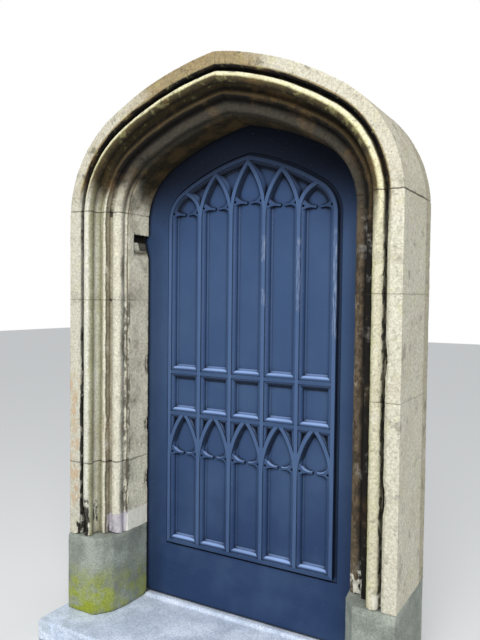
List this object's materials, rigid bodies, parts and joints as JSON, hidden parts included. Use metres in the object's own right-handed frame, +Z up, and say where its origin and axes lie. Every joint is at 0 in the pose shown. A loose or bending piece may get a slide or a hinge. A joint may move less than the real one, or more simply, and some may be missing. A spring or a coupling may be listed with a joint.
{
  "type": "arched wooden door",
  "caption": "Arched panelled church door with blind tracery, strap hinges and slide bolts, hung in a moulded stone doorway on a stone step.",
  "frame": {"origin": "middle of the doorway across X, face of the door's panels in Y, underside of the stone step in Z", "axes": "+X to the right seen from outside, +Y inwards through the door, +Z up"},
  "size_m": [1.56, 0.5875, 2.4509],
  "materials": {
    "limestone": "weathered",
    "step_stone": "worn",
    "painted_oak": "satin paint",
    "ironwork": "blackened"
  },
  "bodies": {
    "frame": {"threshold_step": "step_stone", "plinth_left": "limestone", "plinth_right": "limestone", "jamb_stone_left_1": "limestone", "jamb_stone_left_2": "limestone", "jamb_stone_left_3": "limestone", "jamb_stone_right_1": "limestone", "jamb_stone_right_2": "limestone", "jamb_stone_right_3": "limestone", "springer_left": "limestone", "springer_right": "limestone", "arch_stone_left": "limestone", "arch_stone_right": "limestone", "pintle_lower": "ironwork", "pintle_upper": "ironwork", "bolt_keeper_lower": "ironwork", "bolt_keeper_upper": "ironwork"},
    "leaf": {"stile_closing": "painted_oak", "stile_hinge": "painted_oak", "foot_rail": "painted_oak", "leaf_head_left": "painted_oak", "leaf_head_right": "painted_oak", "panel_board_1": "painted_oak", "panel_board_2": "painted_oak", "panel_board_3": "painted_oak", "panel_board_4": "painted_oak", "panel_board_5": "painted_oak", "tracery_side_left": "painted_oak", "tracery_side_right": "painted_oak", "tracery_foot": "painted_oak", "tracery_arch_left": "painted_oak", "tracery_arch_right": "painted_oak", "mullion_1": "painted_oak", "mullion_2": "painted_oak", "mullion_3": "painted_oak", "mullion_4": "painted_oak", "transom_lower": "painted_oak", "transom_upper": "painted_oak", "light_head_lower_1": "painted_oak", "light_head_lower_2": "painted_oak", "light_head_lower_3": "painted_oak", "light_head_lower_4": "painted_oak", "light_head_lower_5": "painted_oak", "light_head_upper_1": "painted_oak", "light_head_upper_2": "painted_oak", "light_head_upper_3": "painted_oak", "light_head_upper_4": "painted_oak", "light_head_upper_5": "painted_oak", "ledge_lower": "painted_oak", "ledge_middle": "painted_oak", "ledge_upper": "painted_oak", "strap_lower": "ironwork", "strap_upper": "ironwork", "strap_nails": "ironwork", "bolt_plate_lower": "ironwork", "bolt_plate_upper": "ironwork", "pull_handle": "ironwork"},
    "lower_bolt": {"bolt_bar_lower": "ironwork"},
    "upper_bolt": {"bolt_bar_upper": "ironwork"}
  },
  "joints": [
    {"name": "leaf_swing", "type": "hinge", "parent": "frame", "child": "leaf", "pos_m": [-0.575, 0.076, 0.44], "axis": [0, 0, 1], "range_deg": [0, 100]},
    {"name": "lower_bolt_slide", "type": "slide", "parent": "leaf", "child": "lower_bolt", "axis": [1, 0, 0], "range_m": [0, 0.06]},
    {"name": "upper_bolt_slide", "type": "slide", "parent": "leaf", "child": "upper_bolt", "axis": [1, 0, 0], "range_m": [0, 0.06]}
  ]
}
